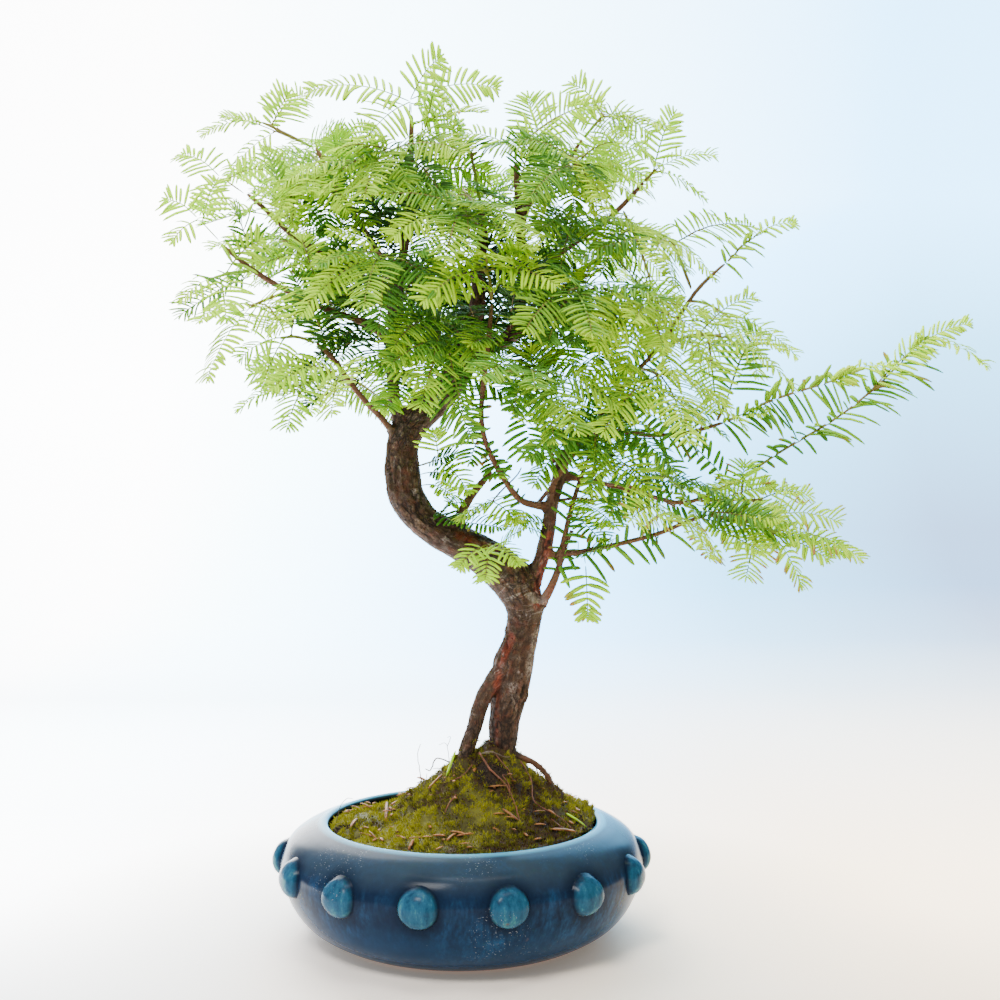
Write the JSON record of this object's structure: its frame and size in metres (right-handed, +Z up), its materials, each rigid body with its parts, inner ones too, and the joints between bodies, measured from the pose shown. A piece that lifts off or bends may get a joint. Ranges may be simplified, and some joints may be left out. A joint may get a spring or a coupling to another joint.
{
  "type": "dawn redwood bonsai",
  "caption": "Bonsai conifer with a bent trunk, a second aerial root leg and feathery flat-needled sprays, in a round low drum pot with a ring of bosses.",
  "frame": {"origin": "centre of the pot's flat base, on the surface it stands on", "axes": "+Z up the tree, -Y towards someone who looks at the tree's front, +X to that person's right, where the long low branches reach out"},
  "size_m": [0.4961, 0.2907, 0.5288],
  "materials": {
    "pot_glaze": "gloss",
    "soil_dark": "matte",
    "moss_green": "matte",
    "bark": "matte",
    "needles": "satin"
  },
  "bodies": {
    "root": {"pot": "pot_glaze", "soil": "soil_dark", "moss": "moss_green", "trunk": "bark", "crown_tip": "needles", "crown_front": "needles", "crown_back": "needles", "crown_shoulder": "needles", "upper_left_tip": "needles", "upper_left_front": "needles", "upper_left_back": "needles", "left_reach": "needles", "left_tip": "needles", "left_tip_low": "needles", "left_skirt": "needles", "left_back": "needles", "low_left_tip": "needles", "low_left_low": "needles", "low_left_front": "needles", "low_left_back": "needles", "fork_front": "needles", "fork_right": "needles", "fork_back": "needles", "fork_low_right": "needles", "centre_high_front": "needles", "centre_top": "needles", "centre_back_high": "needles", "centre_bright": "needles", "centre_low_front": "needles", "centre_fan": "needles", "centre_back_low": "needles", "right_top": "needles", "right_peak": "needles", "right_peak_front": "needles", "right_peak_back": "needles", "right_wing_tip": "needles", "right_wing_front": "needles", "right_wing_down": "needles", "right_wing_back": "needles", "right_inner_tip": "needles", "right_inner_front": "needles", "shoot_upper": "needles", "shoulder_front": "needles", "shoulder_back": "needles", "shoulder_low": "needles", "shoulder_high": "needles", "peak_low": "needles", "long_right_leaf": "needles", "upright_frond": "needles", "shoot_middle": "needles", "middle_front": "needles", "middle_back": "needles", "shoot_long": "needles", "low_right_tip": "needles", "low_right_top": "needles", "low_right_mid": "needles", "hanging_frond": "needles", "trunk_frond": "needles", "bend_frond": "needles", "stub_frond": "needles"}
  },
  "joints": []
}
